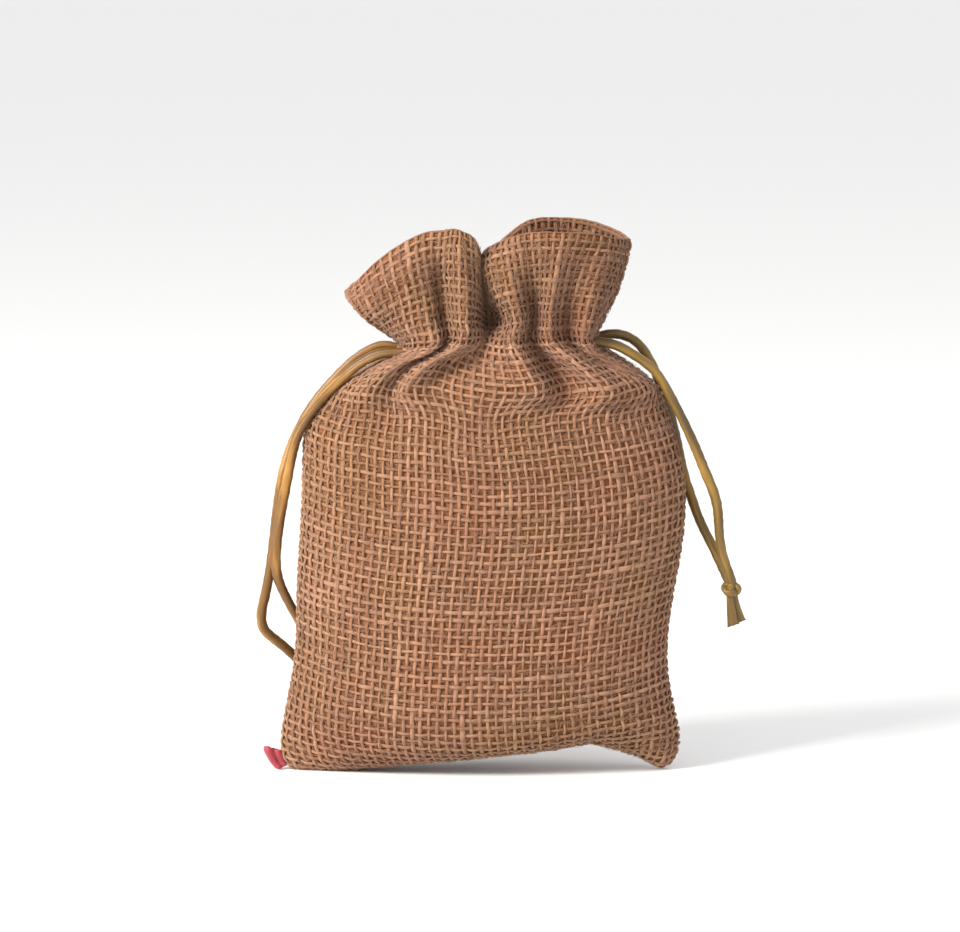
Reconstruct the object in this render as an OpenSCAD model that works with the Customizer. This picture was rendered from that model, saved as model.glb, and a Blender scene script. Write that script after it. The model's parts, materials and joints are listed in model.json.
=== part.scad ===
// Drawstring gift pouch in open jute cloth. It stands filled, with its neck gathered by two satin cords.
// X points right, -Y is the front, +Z is up. The origin is the middle of the base, at the floor.

/* [Bag] */
// Width of the filled bag at half its height
bag_w = 94; // [88:1:98]
// Depth of the filled bag from front to back
bag_d = 35; // [33:1:38]
// Thickness of one layer of the jute cloth
cloth_t = 1.2; // [0.8:0.1:1.4]
// Width of the seam allowance turned inside
seam_w = 6; // [4:0.5:8]

/* [Neck] */
// Width of the gathered neck
neck_w = 49.6; // [48:0.2:50.4]
// Depth of the gathered neck
neck_d = 22; // [21.6:0.2:23]
// Height at which the cord casing starts
neck_z = 103.7; // [103:0.1:104.5]
// Height of the cord casing
casing_h = 7; // [7:0.1:7.2]
// Thickness of the cloth of the casing and of each layer of the lips
lip_t = 0.9; // [0.7:0.1:1]

/* [Mouth] */
// Height of the top of the taller lobe of the lips
mouth_z = 138; // [134:1:142]
// Gap between each lip and the casing
lip_gap = 0.3; // [0.3:0.1:0.6]

/* [Cords] */
// Diameter of the satin cord
cord_d = 2.4; // [2:0.1:2.4]
// Length of each cord end that lies straight in the casing
end_l = 13; // [12:0.5:13.5]
// Gap between a free leg and the end that it hangs from
cord_gap = 0.3; // [0.3:0.1:0.5]

/* [Trim] */
// Length of one stitch
stitch_l = 2.4; // [1.5:0.1:3]
// Thickness of the sewing thread
thread_d = 0.5; // [0.3:0.1:0.6]
// Thickness of the folded red tag
tag_t = 0.8; // [0.6:0.1:1.2]

/* [Hidden] */
$fn = 32;

jute = [0.65, 0.47, 0.36];
jute_dark = [0.52, 0.36, 0.26];
satin = [0.78, 0.6, 0.24];
red = [0.85, 0.22, 0.28];

// Sections of the bag by height: height, left edge, right edge, half depth as a part of the
// bag's half depth, and how square the section is (2 is an ellipse, less is a pointed lens).
sections = [
  [0, -46, 50.5, 0.48, 1.3],
  [1.5, -47.5, 51.5, 0.67, 1.35],
  [4, -48.5, 52, 0.79, 1.45],
  [8, -48.5, 52, 0.87, 1.6],
  [15, -47, 50.5, 0.94, 1.8],
  [25, -44.5, 48.5, 0.975, 1.95],
  [35, -43.5, 48.5, 0.99, 2],
  [45, -43.5, 50, 1, 2],
  [55, -43, 52, 1, 2],
  [75, -42, 52.5, 0.975, 2],
  [85, -41.5, 49.5, 0.925, 2],
  [91, -40, 48, 0.86, 2],
  [95.5, -36, 47, 0.79, 2],
  [99, -31, 44.5, 0.73, 2.2],
  [101.5, -25.3, 39.5, 0.68, 2.8]
];
section_w = 94;
bag_cols = 28;
neck_x = 6.6;
neck_square = 4;
neck_top = neck_z + casing_h;
lip_z = neck_top + lip_gap;

// The right end of the bottom lifts off the floor between these two places
lift_from = 8;
lift_to = 54;
lift_h = 5.5;
lift_fade = 15;

// Rim of the front lip from its left tip to its right tip: place along the rim, then X, Y and Z.
// It dips and folds inwards at the middle.
rim = [
  [0, -32, -0.2, 118.5],
  [0.15, -24, -9, 127],
  [0.3, -12, -14, 134],
  [0.42, -3, -12, 134.5],
  [0.5, 2.4, -7.5, 128],
  [0.58, 9, -12, 131.5],
  [0.7, 17, -16, 137],
  [0.82, 26, -14, mouth_z],
  [0.92, 34.5, -8, 136.3],
  [1, 40.4, -0.2, 132.5]
];
rim_cols = 40;
rim_rows = 6;
lip_bulge = 1.5;

// Cord places: the two cords run round the neck one above the other
cord_r = cord_d / 2;
cord_sides = 8;
exit_y = 6.6;
right_cord_z = neck_z + 5;
left_cord_z = neck_z + 2.2;
neck_left = neck_x - neck_w / 2;
neck_right = neck_x + neck_w / 2;
end_reach = 0.1;
swing_offset = end_reach + cord_gap + cord_r;
right_swing_x = neck_right + swing_offset;
left_swing_x = neck_left - swing_offset;
turn_inset = 2.6;

// Free legs, from the neck to the knot
right_front_route = [
  [36, -6.6, 107.8], [39, -6.4, 106.1], [42.5, -6, 103.8], [46, -5.4, 100.5], [48.5, -4.8, 96.5],
  [50.6, -4.2, 92.5], [52.6, -3.6, 88.5], [54.7, -3, 84], [56.6, -2.6, 79.5], [58.4, -2.3, 75],
  [60.1, -2.1, 71], [61.2, -1.9, 67], [61.6, -1.7, 62.5], [61.9, -1.5, 58.5], [62.7, -1.3, 54.5],
  [63.9, -1.3, 51], [64.9, -1.3, 48.2]
];
right_back_route = [
  [35, 6.7, 109.5], [38.2, 7, 109], [41, 7, 107.5], [43.3, 7, 104.8], [45.3, 6.8, 101.2],
  [47, 6.4, 97], [48.6, 6, 92.3], [50, 5.6, 87.4], [51.2, 5.2, 82.4], [52.3, 4.8, 77.2],
  [53.6, 4.3, 72.2], [55, 3.8, 68.4], [56.3, 3.3, 64.6], [57.8, 2.9, 61.1], [59.5, 2.4, 57.8],
  [61.3, 1.9, 54.2], [62.8, 1.5, 51], [64, 1.3, 48.4]
];
left_outer_route = [
  [-22.5, 6.8, 106.6], [-26.5, 6.6, 105], [-30.4, 6.2, 102.3], [-34, 5.6, 98.8],
  [-37.6, 4.8, 94.9], [-40.8, 4, 90.6], [-43.8, 3.2, 85.3], [-46.2, 2.6, 79.7], [-47.8, 2.2, 73.6],
  [-48.8, 2.1, 67.5], [-49.5, 2.1, 61.5], [-50.1, 2.1, 55.5], [-50.9, 2.1, 49.8], [-52, 2.2, 44.2],
  [-53.1, 2.6, 39], [-52.6, 4, 35], [-50.1, 5.4, 32.4], [-47.2, 6.8, 29.8], [-44.2, 8.4, 26.4],
  [-41.2, 9.9, 22], [-38.4, 11.3, 17.4], [-36, 12.5, 12.6], [-34.2, 13.5, 8.5], [-33, 14, 5.5]
];
left_inner_route = [
  [-22.5, -6.7, 105.9], [-26.5, -6.7, 104.2], [-30.5, -6.5, 101.3], [-34.2, -6, 98],
  [-37.8, -5.4, 94], [-41, -4.4, 89.6], [-43.6, -3.2, 84.8], [-45.2, -2.3, 79], [-46.4, -1.6, 73],
  [-47.6, -1.1, 67], [-48.6, -0.9, 61], [-49.2, -0.8, 55.5], [-49.2, -0.4, 51], [-48.3, 1.6, 46.8],
  [-46.5, 3.9, 42.4], [-44.4, 5.9, 38], [-42.1, 7.8, 33.4], [-39.5, 9.6, 28.4], [-37, 11.3, 23.2],
  [-34.8, 12.7, 18], [-33, 13.8, 13], [-31.4, 14.6, 8.5], [-30.4, 15, 5.5]
];
right_knot_at = [65, 0, 46.2];
left_knot_at = [-31.6, 14.6, 2.5];
knot_core = 2.4;
knot_ring = 1.7;
knot_cord = 1.2;
tail_l = 9.2;
tail_w = 2.6;

// Small tools -------------------------------------------------------------------------------

function power(v, p) = sign(v) * pow(abs(v), p);
function unit(v) = v / max(norm(v), 0.0001);
function clamp01(v) = min(max(v, 0), 1);

// Smooth curve through keyed points: pts is a list of [key, value, value, ...]
function slope(pts, i) =
  i == 0 ? (pts[1] - pts[0]) / (pts[1][0] - pts[0][0]) :
  i == len(pts) - 1 ? (pts[i] - pts[i - 1]) / (pts[i][0] - pts[i - 1][0]) :
  (pts[i + 1] - pts[i - 1]) / (pts[i + 1][0] - pts[i - 1][0]);
function span_at(pts, key, i = 0) =
  i >= len(pts) - 2 || key <= pts[i + 1][0] ? i : span_at(pts, key, i + 1);
function along(pts, key) =
  let (i = span_at(pts, key), h = pts[i + 1][0] - pts[i][0], t = clamp01((key - pts[i][0]) / h))
  pts[i] * (2 * t * t * t - 3 * t * t + 1) + slope(pts, i) * h * (t * t * t - 2 * t * t + t)
  + pts[i + 1] * (3 * t * t - 2 * t * t * t) + slope(pts, i + 1) * h * (t * t * t - t * t);

// Half outline of a rounded section, from its left edge over the front to its right edge
function half_section(x0, x1, depth, square, cols) = [
  for (i = [0:cols])
    let (a = 180 * (1 - i / cols), c = cos(a), s = i == 0 || i == cols ? 0 : sin(a))
    [(x0 + x1) / 2 + (x1 - x0) / 2 * power(c, 2 / square), -depth * power(s, 2 / square)]
];
function neck_section(inset, cols) =
  half_section(neck_left + inset, neck_right - inset, neck_d / 2 - inset, neck_square, cols);

// A closed shell from a grid of outer points: rows go up, columns go round. The first and last
// columns lie in the plane between front and back, so their cloth thickness stays in that plane,
// and no inner point crosses it.
function grid_normal(g, r, c) =
  let (rows = len(g) - 1, cols = len(g[0]) - 1,
       up = g[min(r + 1, rows)][c] - g[max(r - 1, 0)][c],
       round = g[r][min(c + 1, cols)] - g[r][max(c - 1, 0)],
       edge = c == 0 || c == cols,
       n = cross(round, up))
  unit(edge ? [c == 0 ? -abs(up[2]) : abs(up[2]), 0, (c == 0 ? 1 : -1) * up[0] * sign(up[2])] : n);
function outside(p) = [p[0], min(p[1], 0), p[2]];
function flatten(n, keep) = unit([for (k = [0:2]) n[k] * keep[k]]);
function offset_grid(g, t, foot, head) = [
  for (r = [0:len(g) - 1]) [
    for (c = [0:len(g[0]) - 1])
      let (n = grid_normal(g, r, c),
           m = r == 0 ? flatten(n, foot) : r == len(g) - 1 ? flatten(n, head) : n)
      outside(g[r][c] - t * m)
  ]
];
module shell_between(outer, inner) {
  rows = len(outer);
  cols = len(outer[0]);
  n = rows * cols;
  function at(r, c) = r * cols + c;
  function two(a, b, c, d) = [[a, b, c], [a, c, d]];
  faces = [
    for (r = [0:rows - 2]) for (c = [0:cols - 2])
      for (f = two(at(r, c), at(r + 1, c), at(r + 1, c + 1), at(r, c + 1))) f,
    for (r = [0:rows - 2]) for (c = [0:cols - 2])
      for (f = two(n + at(r, c), n + at(r, c + 1), n + at(r + 1, c + 1), n + at(r + 1, c))) f,
    for (c = [0:cols - 2])
      for (f = two(at(0, c), at(0, c + 1), n + at(0, c + 1), n + at(0, c))) f,
    for (c = [0:cols - 2])
      for (f = two(at(rows - 1, c), n + at(rows - 1, c), n + at(rows - 1, c + 1),
                   at(rows - 1, c + 1))) f,
    for (r = [0:rows - 2])
      for (f = two(at(r, 0), n + at(r, 0), n + at(r + 1, 0), at(r + 1, 0))) f,
    for (r = [0:rows - 2])
      for (f = two(at(r, cols - 1), at(r + 1, cols - 1), n + at(r + 1, cols - 1),
                   n + at(r, cols - 1))) f
  ];
  polyhedron([for (g = [outer, inner]) for (row = g) for (p = row) p], faces);
}

// Bag ---------------------------------------------------------------------------------------

function lift(x, z) =
  x <= lift_from || x >= lift_to || z >= lift_fade ? 0 :
  lift_h * pow(sin(180 * (x - lift_from) / (lift_to - lift_from)), 2) * pow(1 - z / lift_fade, 2);
function widened(x) = x * bag_w / section_w;
function bag_row(s) = [
  for (p = half_section(widened(s[1]), widened(s[2]), bag_d / 2 * s[3], s[4], bag_cols))
    [p[0], p[1], s[0] + lift(p[0], s[0])]
];
// The base: a flat row on the floor, with its corners just clear of it
corner_up = 0.5;
corner_in = 1.5;
base_edge = let (row = bag_row(sections[0])) [
  for (i = [0:bag_cols]) row[i] + [0, 0, i == 0 || i == bag_cols ? corner_up : 0]
];
base_middle = [
  for (i = [0:bag_cols])
    let (p = base_edge[i], x = p[0] + (i == 0 ? corner_in : i == bag_cols ? -corner_in : 0))
    [x, 0, lift(x, 0)]
];
function bag_rows() = [
  base_middle,
  base_edge,
  for (k = [1:len(sections) - 1]) bag_row(sections[k]),
  [for (p = neck_section(0, bag_cols)) [p[0], p[1], neck_z]]
];
module panel() {
  outer = bag_rows();
  shell_between(outer, offset_grid(outer, cloth_t, [0, 0, 1], [1, 1, 0]));
}
module front_panel() { color(jute) panel(); }
module back_panel() { color(jute) mirror([0, 1, 0]) panel(); }

// Turned-in seam edges, two layers thick, standing on end between front and back
module turned_edge(points) {
  translate([0, cloth_t / 2, 0]) rotate([90, 0, 0]) linear_extrude(cloth_t) polygon(points);
}
seam_foot = 9;
seam_clear = 0.25;
seam_heights = [seam_foot, 15, 25, 35, 45, 55, 75, 85, 91, 95];
function side_x(z, side) =
  widened(along(sections, z)[side]) + (side == 1 ? 1 : -1) * (cloth_t + seam_clear);
function side_strip(side) = concat(
  [for (z = seam_heights) [side_x(z, side), z]],
  [for (i = [len(seam_heights) - 1:-1:0])
    [side_x(seam_heights[i], side) + (side == 1 ? seam_w : -seam_w), seam_heights[i]]]
);
// Above the panels, the side seam closes the neck between the two cord exits
module neck_bar(x) {
  bar_half = exit_y - cord_r - 0.4;
  translate([x, -bar_half, neck_z]) cube([cloth_t, 2 * bar_half, casing_h]);
}
module left_side_seam() { color(jute_dark) { turned_edge(side_strip(1)); neck_bar(neck_left); } }
module right_side_seam() {
  color(jute_dark) { turned_edge(side_strip(2)); neck_bar(neck_right - cloth_t); }
}
bottom_xs = [for (x = [-40:4:44]) x];
function bottom_z(x) = cloth_t + 0.2 + lift(x, 0);
module bottom_seam() {
  color(jute_dark) turned_edge(concat(
    [for (x = bottom_xs) [x, bottom_z(x)]],
    [for (i = [len(bottom_xs) - 1:-1:0]) [bottom_xs[i], bottom_z(bottom_xs[i]) + seam_w]]
  ));
}

// Neck --------------------------------------------------------------------------------------

// The outer wall follows the neck and stops short of the cord exits. The inner wall is straight
// and stops short of the place where each cord turns round the end of the neck.
tunnel_wall_y = exit_y - cord_r - 0.2;
casing_inset = 4;
inner_inset = 8.3;
casing_from = neck_left + casing_inset;
casing_to = neck_right - casing_inset;
casing_cap = 0.7;
module neck_half(inset) { polygon(neck_section(inset, 48)); }
module casing_profile() {
  intersection() {
    neck_half(0);
    translate([casing_from, -neck_d]) square([casing_to - casing_from, neck_d - tunnel_wall_y + lip_t]);
  }
}
module tunnel_profile() {
  intersection() {
    neck_half(lip_t);
    union() {
      translate([neck_left, -neck_d]) square([neck_w, neck_d - tunnel_wall_y]);
      for (x = [neck_left, neck_right - inner_inset])
        translate([x, -neck_d]) square([inner_inset, neck_d]);
    }
  }
}
module casing() {
  translate([0, 0, neck_z]) difference() {
    linear_extrude(casing_h) casing_profile();
    translate([0, 0, casing_cap]) linear_extrude(casing_h - 2 * casing_cap) tunnel_profile();
  }
}
module front_casing() { color(jute) casing(); }
module back_casing() { color(jute) mirror([0, 1, 0]) casing(); }

// One row of stitches closes the tunnel below and one above
stitch_pitch = 3.4;
stitch_count = 9;
stitch_rows = [casing_cap / 2, casing_h - casing_cap / 2];
stitch_out = 0.1;
function neck_y(x) =
  -neck_d / 2 * pow(1 - pow(abs(x - neck_x) / (neck_w / 2), neck_square), 1 / neck_square);
module stitches() {
  for (h = stitch_rows) for (i = [0:stitch_count - 1]) {
    x = neck_x + (i - (stitch_count - 1) / 2) * stitch_pitch;
    x0 = x - stitch_l / 2;
    x1 = x + stitch_l / 2;
    turn = atan2(neck_y(x1) - neck_y(x0), stitch_l);
    translate([x0, neck_y(x0) - stitch_out, neck_z + h]) rotate([0, 0, turn]) rotate([0, 90, 0])
      cylinder(d = thread_d, h = stitch_l, $fn = 16);
  }
}
module front_casing_stitches() { color(jute_dark) stitches(); }
module back_casing_stitches() { color(jute_dark) mirror([0, 1, 0]) stitches(); }

// Lips --------------------------------------------------------------------------------------

lip_side_y = 0.2;
lip_foot = [for (p = neck_section(0, rim_cols)) [p[0], min(p[1], -lip_side_y), lip_z]];
function rim_point(i) = let (r = along(rim, i / rim_cols)) [r[1], min(r[2], -lip_side_y), r[3]];
function lip_point(i, v) =
  lip_foot[i] * (1 - v) + rim_point(i) * v
  - [0, lip_bulge * sin(180 * v) * sin(180 * i / rim_cols), 0];
lip_outer = [for (r = [0:rim_rows]) [for (i = [0:rim_cols]) lip_point(i, r / rim_rows)]];
lip_inner = offset_grid(lip_outer, lip_t, [1, 1, 0], [1, 1, 0]);
fold_gap = 0.1;
facing_outer = offset_grid(lip_outer, lip_t + fold_gap, [1, 1, 0], [1, 1, 0]);
facing_inner = offset_grid(lip_outer, 2 * lip_t + fold_gap, [1, 1, 0], [1, 1, 0]);
module lip() { shell_between(lip_outer, lip_inner); }
module lip_facing() { shell_between(facing_outer, facing_inner); }
module front_frill() { color(jute) lip(); }
module front_facing() { color(jute_dark) lip_facing(); }
module back_frill() { color(jute) mirror([0, 1, 0]) lip(); }
module back_facing() { color(jute_dark) mirror([0, 1, 0]) lip_facing(); }

// Cords -------------------------------------------------------------------------------------

// The run inside the casing: round the far end of the neck and straight along front and back
module cord_run(z, turn_x, free_x) {
  side = sign(free_x - turn_x);
  translate([turn_x, 0, z]) {
    rotate([0, 0, side > 0 ? 90 : -90]) rotate_extrude(angle = 180)
      translate([exit_y, 0]) circle(cord_r);
    for (y = [-exit_y, exit_y]) translate([0, y, 0]) rotate([0, side * 90, 0])
      cylinder(r = cord_r, h = abs(free_x - turn_x));
  }
}
// The two straight ends that slide out of the casing
module cord_ends(z, x0, side) {
  for (y = [-exit_y, exit_y]) translate([x0, y, z]) rotate([0, side * 90, 0])
    cylinder(r = cord_r, h = end_l);
}
right_end_x = neck_right + end_reach - end_l;
left_end_x = neck_left - end_reach + end_l;
right_turn_x = neck_left + turn_inset + exit_y;
left_turn_x = neck_right - turn_inset - exit_y;
module right_cord_run() { color(satin) cord_run(right_cord_z, right_turn_x, right_end_x - cord_gap); }
module left_cord_run() { color(satin) cord_run(left_cord_z, left_turn_x, left_end_x + cord_gap); }
module right_cord_ends() { color(satin) cord_ends(right_cord_z, right_end_x, 1); }
module left_cord_ends() { color(satin) cord_ends(left_cord_z, left_end_x, -1); }

// A round tube through its points: each ring faces along the route, and is turned as little as
// possible from the ring before it. The first two rings round off the start.
start_rings = [[0.85, 0.5], [0.5, 0.86]];
function direction(pts, i) = unit(pts[min(i + 1, len(pts) - 1)] - pts[max(i - 1, 0)]);
function carried(side, dir) = unit(side - dir * (side * dir));
function ring_sides(pts, i = 0, side = [0, 1, 0]) =
  i >= len(pts) ? [] :
  let (s = carried(side, direction(pts, i))) concat([s], ring_sides(pts, i + 1, s));
module tube(start, route) {
  first = unit(route[0] - start);
  pts = concat([for (s = start_rings) start - first * cord_r * s[0]], [start], route);
  sides = ring_sides(pts);
  function ring_r(i) = cord_r * (i < len(start_rings) ? start_rings[i][1] : 1);
  points = [
    for (i = [0:len(pts) - 1]) let (d = direction(pts, i), u = sides[i], w = cross(d, u))
      for (k = [0:cord_sides - 1]) let (a = 360 * k / cord_sides)
        pts[i] + ring_r(i) * (u * cos(a) + w * sin(a))
  ];
  last = (len(pts) - 1) * cord_sides;
  faces = concat(
    [[for (k = [0:cord_sides - 1]) k]],
    [[for (k = [cord_sides - 1:-1:0]) last + k]],
    [for (i = [0:len(pts) - 2]) for (k = [0:cord_sides - 1])
      let (a = i * cord_sides + k, b = i * cord_sides + (k + 1) % cord_sides)
      for (f = [[a, a + cord_sides, b], [b, a + cord_sides, b + cord_sides]]) f]
  );
  polyhedron(points, faces);
}
right_start = [right_swing_x, exit_y, right_cord_z];
left_start = [left_swing_x, exit_y, left_cord_z];
front_of = [1, -1, 1];
function in_front(p) = [for (k = [0:2]) p[k] * front_of[k]];
module right_cord_front_leg() { color(satin) tube(in_front(right_start), right_front_route); }
module right_cord_back_leg() { color(satin) tube(right_start, right_back_route); }
module left_cord_outer_leg() { color(satin) tube(left_start, left_outer_route); }
module left_cord_inner_leg() { color(satin) tube(in_front(left_start), left_inner_route); }

module knot(at) {
  translate(at) {
    sphere(knot_core);
    rotate([0, 20, 0]) rotate_extrude() translate([knot_ring, 0]) circle(knot_cord);
  }
}
module right_knot() { color(satin) knot(right_knot_at); }
module left_knot() { color(satin) knot(left_knot_at); }

// Two flared tails, drawn hanging down from the knot's middle
module tail(lean) {
  hull() {
    sphere(cord_r * 0.8, $fn = 16);
    translate([lean, 0, -tail_l]) cube([tail_w, cord_d * 0.6, 0.6], center = true);
  }
}
module tails() {
  translate([-0.9, -0.9, 0]) tail(0);
  translate([0.9, 0.9, 0]) tail(0.8);
}
module right_cord_tails() { color(satin) translate(right_knot_at) tails(); }
left_tail_turn = [90, 0, 60];
left_tail_drop = 1.2;
module left_cord_tails() {
  color(satin) translate(left_knot_at - [0, 0, left_tail_drop]) rotate(left_tail_turn) tails();
}

// Tag ---------------------------------------------------------------------------------------

tag_outline = [[-52.5, 5.5], [-49, 0.2], [-46.8, 1.3], [-48.2, 4.7]];
module seam_tag() {
  color(red) translate([0, tag_t / 2, 0]) rotate([90, 0, 0]) linear_extrude(tag_t) polygon(tag_outline);
}

front_panel();
back_panel();
left_side_seam();
right_side_seam();
bottom_seam();
front_casing();
back_casing();
front_casing_stitches();
back_casing_stitches();
seam_tag();
front_frill();
front_facing();
back_frill();
back_facing();
right_cord_run();
right_cord_ends();
right_cord_front_leg();
right_cord_back_leg();
right_knot();
right_cord_tails();
left_cord_run();
left_cord_ends();
left_cord_outer_leg();
left_cord_inner_leg();
left_knot();
left_cord_tails();
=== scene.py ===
import json
import math

import bpy
import numpy as np
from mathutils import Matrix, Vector

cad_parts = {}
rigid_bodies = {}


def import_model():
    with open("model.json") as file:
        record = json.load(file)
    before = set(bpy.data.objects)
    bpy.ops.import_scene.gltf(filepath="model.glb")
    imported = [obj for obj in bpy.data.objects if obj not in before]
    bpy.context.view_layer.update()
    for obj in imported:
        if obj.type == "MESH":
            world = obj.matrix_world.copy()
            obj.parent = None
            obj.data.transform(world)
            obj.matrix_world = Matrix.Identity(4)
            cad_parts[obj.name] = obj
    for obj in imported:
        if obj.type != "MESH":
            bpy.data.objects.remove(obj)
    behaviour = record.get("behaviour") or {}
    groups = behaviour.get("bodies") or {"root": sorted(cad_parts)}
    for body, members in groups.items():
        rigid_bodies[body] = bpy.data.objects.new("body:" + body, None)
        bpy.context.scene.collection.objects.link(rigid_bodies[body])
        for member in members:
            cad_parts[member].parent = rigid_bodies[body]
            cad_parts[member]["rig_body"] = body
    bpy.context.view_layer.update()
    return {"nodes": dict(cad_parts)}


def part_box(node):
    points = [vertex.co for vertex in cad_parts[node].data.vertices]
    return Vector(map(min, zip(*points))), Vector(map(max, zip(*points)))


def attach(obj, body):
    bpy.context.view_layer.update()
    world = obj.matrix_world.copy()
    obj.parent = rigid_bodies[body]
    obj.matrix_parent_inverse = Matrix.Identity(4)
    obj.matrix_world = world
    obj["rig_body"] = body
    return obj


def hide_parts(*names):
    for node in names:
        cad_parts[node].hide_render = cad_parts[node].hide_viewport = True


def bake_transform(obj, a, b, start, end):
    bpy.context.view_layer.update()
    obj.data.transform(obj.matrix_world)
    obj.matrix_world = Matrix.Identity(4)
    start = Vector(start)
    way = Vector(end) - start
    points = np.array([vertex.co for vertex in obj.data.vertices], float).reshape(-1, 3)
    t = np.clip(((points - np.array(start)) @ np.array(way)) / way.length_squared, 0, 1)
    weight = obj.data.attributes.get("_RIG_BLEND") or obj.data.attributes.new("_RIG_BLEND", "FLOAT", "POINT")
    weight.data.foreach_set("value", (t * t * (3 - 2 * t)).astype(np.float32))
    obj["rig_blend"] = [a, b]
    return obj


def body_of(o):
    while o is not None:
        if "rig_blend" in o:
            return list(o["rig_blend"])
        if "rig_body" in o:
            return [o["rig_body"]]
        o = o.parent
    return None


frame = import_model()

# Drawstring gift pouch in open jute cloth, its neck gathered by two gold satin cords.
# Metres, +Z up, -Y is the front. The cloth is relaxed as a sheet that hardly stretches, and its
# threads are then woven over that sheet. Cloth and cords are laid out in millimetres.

MM = 0.001

# -------- camera, floor and light

FRAME_MIDDLE = Vector((0.0019, 0.0, 0.0769))
CAMERA_DISTANCE = 1.2
CAMERA_ELEVATION = math.radians(7.0)
CAMERA_LENS = 180.0
FLOOR_HALF = 20.0
SKY_STRENGTH = 0.93
# Each light's place, size, power in watts and colour
KEY_LIGHT = ((-0.8, -0.65, 0.7), 0.45, 27.0, (1.0, 0.96, 0.9))
FILL_LIGHT = ((0.7, -0.5, 0.35), 0.8, 0.9, (0.88, 0.93, 1.0))


def aim(ob, at):
    ob.rotation_euler = (at - ob.location).to_track_quat("-Z", "Y").to_euler()


def make_camera():
    data = bpy.data.cameras.new("camera")
    data.lens = CAMERA_LENS
    ob = bpy.data.objects.new("camera", data)
    bpy.context.scene.collection.objects.link(ob)
    back = Vector((0.0, -math.cos(CAMERA_ELEVATION), math.sin(CAMERA_ELEVATION)))
    ob.location = FRAME_MIDDLE + CAMERA_DISTANCE * back
    aim(ob, FRAME_MIDDLE)
    bpy.context.scene.camera = ob


def make_light(name, place, size, power, colour):
    data = bpy.data.lights.new(name, "AREA")
    data.size = size
    data.energy = power
    data.color = colour
    ob = bpy.data.objects.new(name, data)
    bpy.context.scene.collection.objects.link(ob)
    ob.location = place
    aim(ob, FRAME_MIDDLE)


def make_floor():
    half = FLOOR_HALF
    corners = [(-half, -half, 0), (half, -half, 0), (half, half, 0), (-half, half, 0)]
    data = bpy.data.meshes.new("floor")
    data.from_pydata(corners, [], [(0, 1, 2, 3)])
    ob = bpy.data.objects.new("floor", data)
    bpy.context.scene.collection.objects.link(ob)
    mat = bpy.data.materials.new("floor")
    mat.use_nodes = True
    shader = mat.node_tree.nodes["Principled BSDF"]
    shader.inputs["Base Color"].default_value = (0.9, 0.9, 0.9, 1)
    shader.inputs["Roughness"].default_value = 0.6
    ob.data.materials.append(mat)


def make_world():
    world = bpy.data.worlds.new("studio")
    world.use_nodes = True
    background = world.node_tree.nodes["Background"]
    background.inputs["Color"].default_value = (1.0, 1.0, 1.0, 1)
    background.inputs["Strength"].default_value = SKY_STRENGTH
    bpy.context.scene.world = world


make_camera()
make_floor()
make_world()
make_light("key", *KEY_LIGHT)
make_light("fill", *FILL_LIGHT)

# -------- materials


# The mix node's sockets for colours: the amount, the two colours and the result
MIX_AMOUNT, MIX_BASE, MIX_TOP, MIX_COLOUR = 0, 6, 7, 2


def grey(value):
    return value, value, value


class Shade:
    """A Principled material and short ways to add nodes to it."""

    def __init__(self, name, roughness):
        self.mat = bpy.data.materials.new(name)
        self.mat.use_nodes = True
        self.tree = self.mat.node_tree
        self.shader = self.tree.nodes["Principled BSDF"]
        self.set(self.shader, "Roughness", roughness)

    def node(self, kind, **inputs):
        made = self.tree.nodes.new(kind)
        for key, value in inputs.items():
            self.set(made, key.replace("_", " "), value)
        return made

    def set(self, made, key, value):
        if isinstance(value, bpy.types.NodeSocket):
            self.tree.links.new(value, made.inputs[key])
        else:
            made.inputs[key].default_value = value

    def place(self):
        """The point on the object, in metres."""
        source = self.node("ShaderNodeTexCoord").outputs["Object"]
        return self.node("ShaderNodeMapping", Vector=source).outputs[0]

    def thread_map(self):
        """The uv layer that runs along a thread and round it."""
        uv = self.node("ShaderNodeUVMap")
        uv.uv_map = "thread"
        return uv.outputs[0]

    def scaled(self, vector, along, across):
        """A vector stretched along the thread and across it."""
        return self.node("ShaderNodeMapping", Vector=vector, Scale=(along, across, 1)).outputs[0]

    def noise(self, vector, scale, detail=2.0, rough=0.5):
        made = self.node("ShaderNodeTexNoise", Vector=vector, Scale=scale, Detail=detail,
                         Roughness=rough)
        return made.outputs["Fac"]

    def ramp(self, value, stops):
        made = self.node("ShaderNodeValToRGB", Fac=value)
        marks = made.color_ramp.elements
        while len(marks) < len(stops):
            marks.new(0.5)
        for mark, (place, colour) in zip(marks, stops):
            mark.position = place
            mark.color = (*colour, 1)
        return made.outputs["Color"]

    def multiply(self, amount, base, value, stops):
        """A base colour darkened or lightened by a ramp over a value."""
        made = self.tree.nodes.new("ShaderNodeMix")
        made.data_type = "RGBA"
        made.blend_type = "MULTIPLY"
        made.inputs[MIX_AMOUNT].default_value = amount
        self.tree.links.new(base, made.inputs[MIX_BASE])
        self.tree.links.new(self.ramp(value, stops), made.inputs[MIX_TOP])
        return made.outputs[MIX_COLOUR]

    def bump(self, height, strength, distance):
        made = self.node("ShaderNodeBump", Height=height, Strength=strength, Distance=distance)
        self.set(self.shader, "Normal", made.outputs[0])

    def finish(self, colour, **others):
        """The base colour and the shader's other values."""
        self.set(self.shader, "Base Color", colour)
        for key, value in others.items():
            self.set(self.shader, key.replace("_", " "), value)
        return self.mat


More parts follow.
